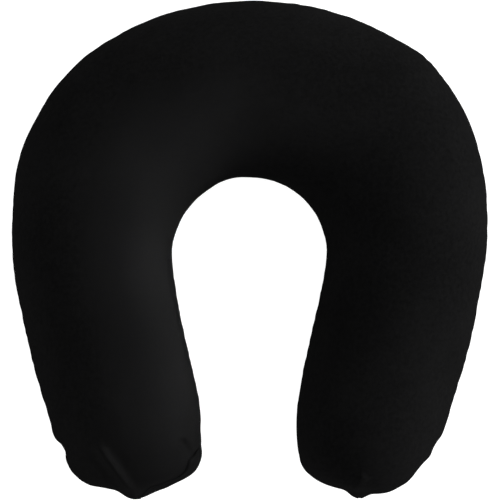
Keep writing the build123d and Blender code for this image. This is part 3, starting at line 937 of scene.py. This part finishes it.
def woven_material(name, colour, pitch, rib=0.0, shine=0.05, roughness=0.75):
    """A plain weave of the given yarn pitch, in metres, with an optional rib along it."""
    m = Nodes(name, Roughness=roughness)
    m.shader.inputs["Specular IOR Level"].default_value = shine
    m.shader.inputs["Sheen Weight"].default_value = shine / 10
    split = m.add("ShaderNodeSeparateXYZ", {"Vector": m.add("ShaderNodeTexCoord").outputs["UV"]})
    warp = m.math("SINE", m.math("MULTIPLY", split.outputs["X"], pi / pitch))
    weft = m.math("SINE", m.math("MULTIPLY", split.outputs["Y"], pi / pitch))
    weave = m.math("ABSOLUTE", m.math("MULTIPLY", warp, weft))
    height = weave
    if rib:
        ridge = m.math("SINE", m.math("MULTIPLY", split.outputs["Y"], 2 * pi / rib))
        height = m.math("ADD", weave, m.math("MULTIPLY", ridge, 0.6))
    place = m.add("ShaderNodeTexCoord").outputs["Object"]
    tone = m.noise(place, 40.0, 3.0)
    slub = m.bump(m.noise(place, 900.0), 0.00008, 0.4, m.bump(height, pitch * 0.35, 0.7))
    m.put(slub, m.shader.inputs["Normal"])
    dark = tuple(c * 0.78 for c in colour[:3]) + (1.0,)
    m.put(m.ramp(tone, dark, colour), m.shader.inputs["Base Color"])
    rough = m.math("ADD", roughness - 0.08, m.math("MULTIPLY", weave, 0.16))
    m.put(rough, m.shader.inputs["Roughness"])
    return m.material


def beads_material():
    """Packed expanded beads: round cells a millimetre or so across, each of its own tone."""
    m = Nodes("beads", Roughness=0.55)
    m.shader.inputs["Subsurface Weight"].default_value = 0.15
    place = m.add("ShaderNodeTexCoord").outputs["Object"]
    cells = m.add("ShaderNodeTexVoronoi", {"Vector": place, "Scale": 700.0})
    dome = m.math("SUBTRACT", 1.0, m.math("POWER", cells.outputs["Distance"], 2.0))
    m.put(m.bump(dome, 0.0005, 0.9), m.shader.inputs["Normal"])
    pale = m.ramp(cells.outputs["Color"], (0.74, 0.75, 0.76, 1), (0.88, 0.89, 0.9, 1), (0.1, 0.9))
    m.put(pale, m.shader.inputs["Base Color"])
    m.put(m.math("ADD", 0.45, m.math("MULTIPLY", dome, 0.2)), m.shader.inputs["Roughness"])
    return m.material


def lacquer_material():
    """Black lacquered zinc: faint casting ripple, and paler metal where edges are rubbed."""
    m = Nodes("zip_metal", Metallic=0.0)
    m.shader.inputs["Specular IOR Level"].default_value = 0.14
    m.shader.inputs["Coat Weight"].default_value = 0.03
    m.shader.inputs["Coat Roughness"].default_value = 0.25
    place = m.add("ShaderNodeTexCoord").outputs["Object"]
    ripple, scuff = m.noise(place, 900.0, 3.0), m.noise(place, 2600.0, 4.0)
    m.put(m.bump(scuff, 0.00002, 0.4, m.bump(ripple, 0.00005, 0.4)), m.shader.inputs["Normal"])
    edge = m.add("ShaderNodeNewGeometry").outputs["Pointiness"]
    rubbed = m.math("MULTIPLY", m.math("GREATER_THAN", edge, 0.56), scuff)
    m.put(m.ramp(rubbed, grey(0.007), grey(0.03), (0.35, 0.8)), m.shader.inputs["Base Color"])
    m.put(m.math("ADD", 0.24, m.math("MULTIPLY", ripple, 0.22)), m.shader.inputs["Roughness"])
    return m.material


def nylon_material():
    """Black nylon monofilament: smooth, a little glossy, faintly drawn along its length."""
    m = Nodes("zip_coil", Roughness=0.4)
    m.shader.inputs["Specular IOR Level"].default_value = 0.08
    split = m.add("ShaderNodeSeparateXYZ", {"Vector": m.add("ShaderNodeTexCoord").outputs["UV"]})
    along = {"X": split.outputs["X"], "Y": split.outputs["Y"]}
    drawn = m.noise(m.add("ShaderNodeCombineXYZ", along).outputs[0], 400.0)
    m.put(m.bump(drawn, 0.00003, 0.4), m.shader.inputs["Normal"])
    tone = m.ramp(drawn, (0.006, 0.006, 0.007, 1), (0.012, 0.012, 0.013, 1))
    m.put(tone, m.shader.inputs["Base Color"])
    m.put(m.math("ADD", 0.34, m.math("MULTIPLY", drawn, 0.15)), m.shader.inputs["Roughness"])
    return m.material


# ---------------------------------------------------------------- putting it together
def put_on(piece, material, node):
    """A piece with its material, fixed to the pillow's body in its CAD node's stead."""
    piece.data.materials.append(material)
    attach(piece, "pillow")
    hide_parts(node)
    return piece


def dress_metal(node, width):
    """The CAD solid stays; its edges are eased and it gets the lacquer."""
    obj = NODES[node]
    weld = obj.modifiers.new("weld", "WELD")
    weld.merge_threshold = 0.000002
    bevel = obj.modifiers.new("eased_edges", "BEVEL")
    bevel.width, bevel.segments = width * MM, 3
    bevel.limit_method, bevel.angle_limit = "ANGLE", radians(35)
    bevel.harden_normals = True
    obj.data.materials.clear()
    obj.data.materials.append(METAL)


def cover_and_filling():
    top, bottom = make_cover()
    put_on(top, KNIT, "cover_top_panel")
    put_on(bottom, KNIT, "cover_bottom_panel")
    for name, upper in (("liner_top", True), ("liner_bottom", False)):
        liner = make_inner(name, LINER_DEPTH, upper)
        put_on(liner, LINER, f"{name}_panel")
    filling = make_inner("filling", FILLING_DEPTH, None)
    put_on(filling, BEADS, "bead_filling")
    seam = overlock("cover_seam_overlock", COVER_THREAD_DEPTH)
    put_on(seam, THREAD, "cover_seam_thread")
    seam = overlock("liner_seam_overlock", LINER_THREAD_DEPTH)
    put_on(seam, PALE_THREAD, "liner_seam_thread")
    return surface_of(top, bottom)


def zip_and_label(tree):
    for side, word in ((1, "upper"), (-1, "lower")):
        row = make_zip_stitching(f"zip_stitches_{word}", tree, side * STITCH_HEIGHT)
        put_on(row, THREAD, f"zip_stitching_{word}")
        put_on(make_coil(f"zip_coil_wound_{word}", side), NYLON, f"zip_coil_{word}")
        tape, wide, long = make_tape(f"zip_tape_woven_{word}", side)
        put_on(tape, TAPE, f"zip_tape_{word}")
        dress_metal(f"zip_top_stop_{word}", 0.12)
    dress_metal("zip_bottom_stop", 0.12)
    dress_metal("zip_slider", 0.25)
    dress_metal("zip_pull", 0.25)
    for side, word in ((-1, "left"), (1, "right")):
        at, along, out, up = zip_axes(side * BAR_TACK_ANGLE)
        bar = make_bar_tack(f"zip_bar_{word}", tree, at, along, up, out, (1.4, 8.4), 22)
        put_on(bar, THREAD, f"zip_bar_tack_{word}")
        front, sideways = np.array([0, -1.0, 0]), np.array([1.0, 0, 0])
        level = np.array([0, 0, 1.0])
        nub = np.array([side * TIP[0] + (-1.0 if side < 0 else -0.8), -158.0, SEAM_Z])
        bar = make_bar_tack(f"leg_tip_bar_{word}", tree, nub, level, sideways, front, (1.5, 4.6), 13)
        put_on(bar, THREAD, f"leg_tip_tack_{word}")
    label, wide, long = make_label(tree)
    put_on(label, SATIN, "care_label")
    rows = make_label_stitching(surface_of(label))
    put_on(rows, LABEL_THREAD, "care_label_stitching")


make_camera()
make_world()
make_floor()
make_lights()
KNIT = knit_material()
THREAD = thread_material("thread", (0.008, 0.008, 0.009, 1))
PALE_THREAD = thread_material("liner_thread", (0.6, 0.6, 0.58, 1))
LABEL_THREAD = thread_material("label_thread", (0.6, 0.6, 0.58, 1))
LINER = woven_material("liner_cloth", (0.55, 0.55, 0.53, 1), 0.0004)
TAPE = woven_material("zip_tape", (0.006, 0.006, 0.0065, 1), 0.0005, rib=0.0019, shine=0.02)
SATIN = woven_material("label_satin", (0.75, 0.75, 0.73, 1), 0.00012, shine=0.5, roughness=0.38)
BEADS = beads_material()
METAL = lacquer_material()
NYLON = nylon_material()
zip_and_label(cover_and_filling())
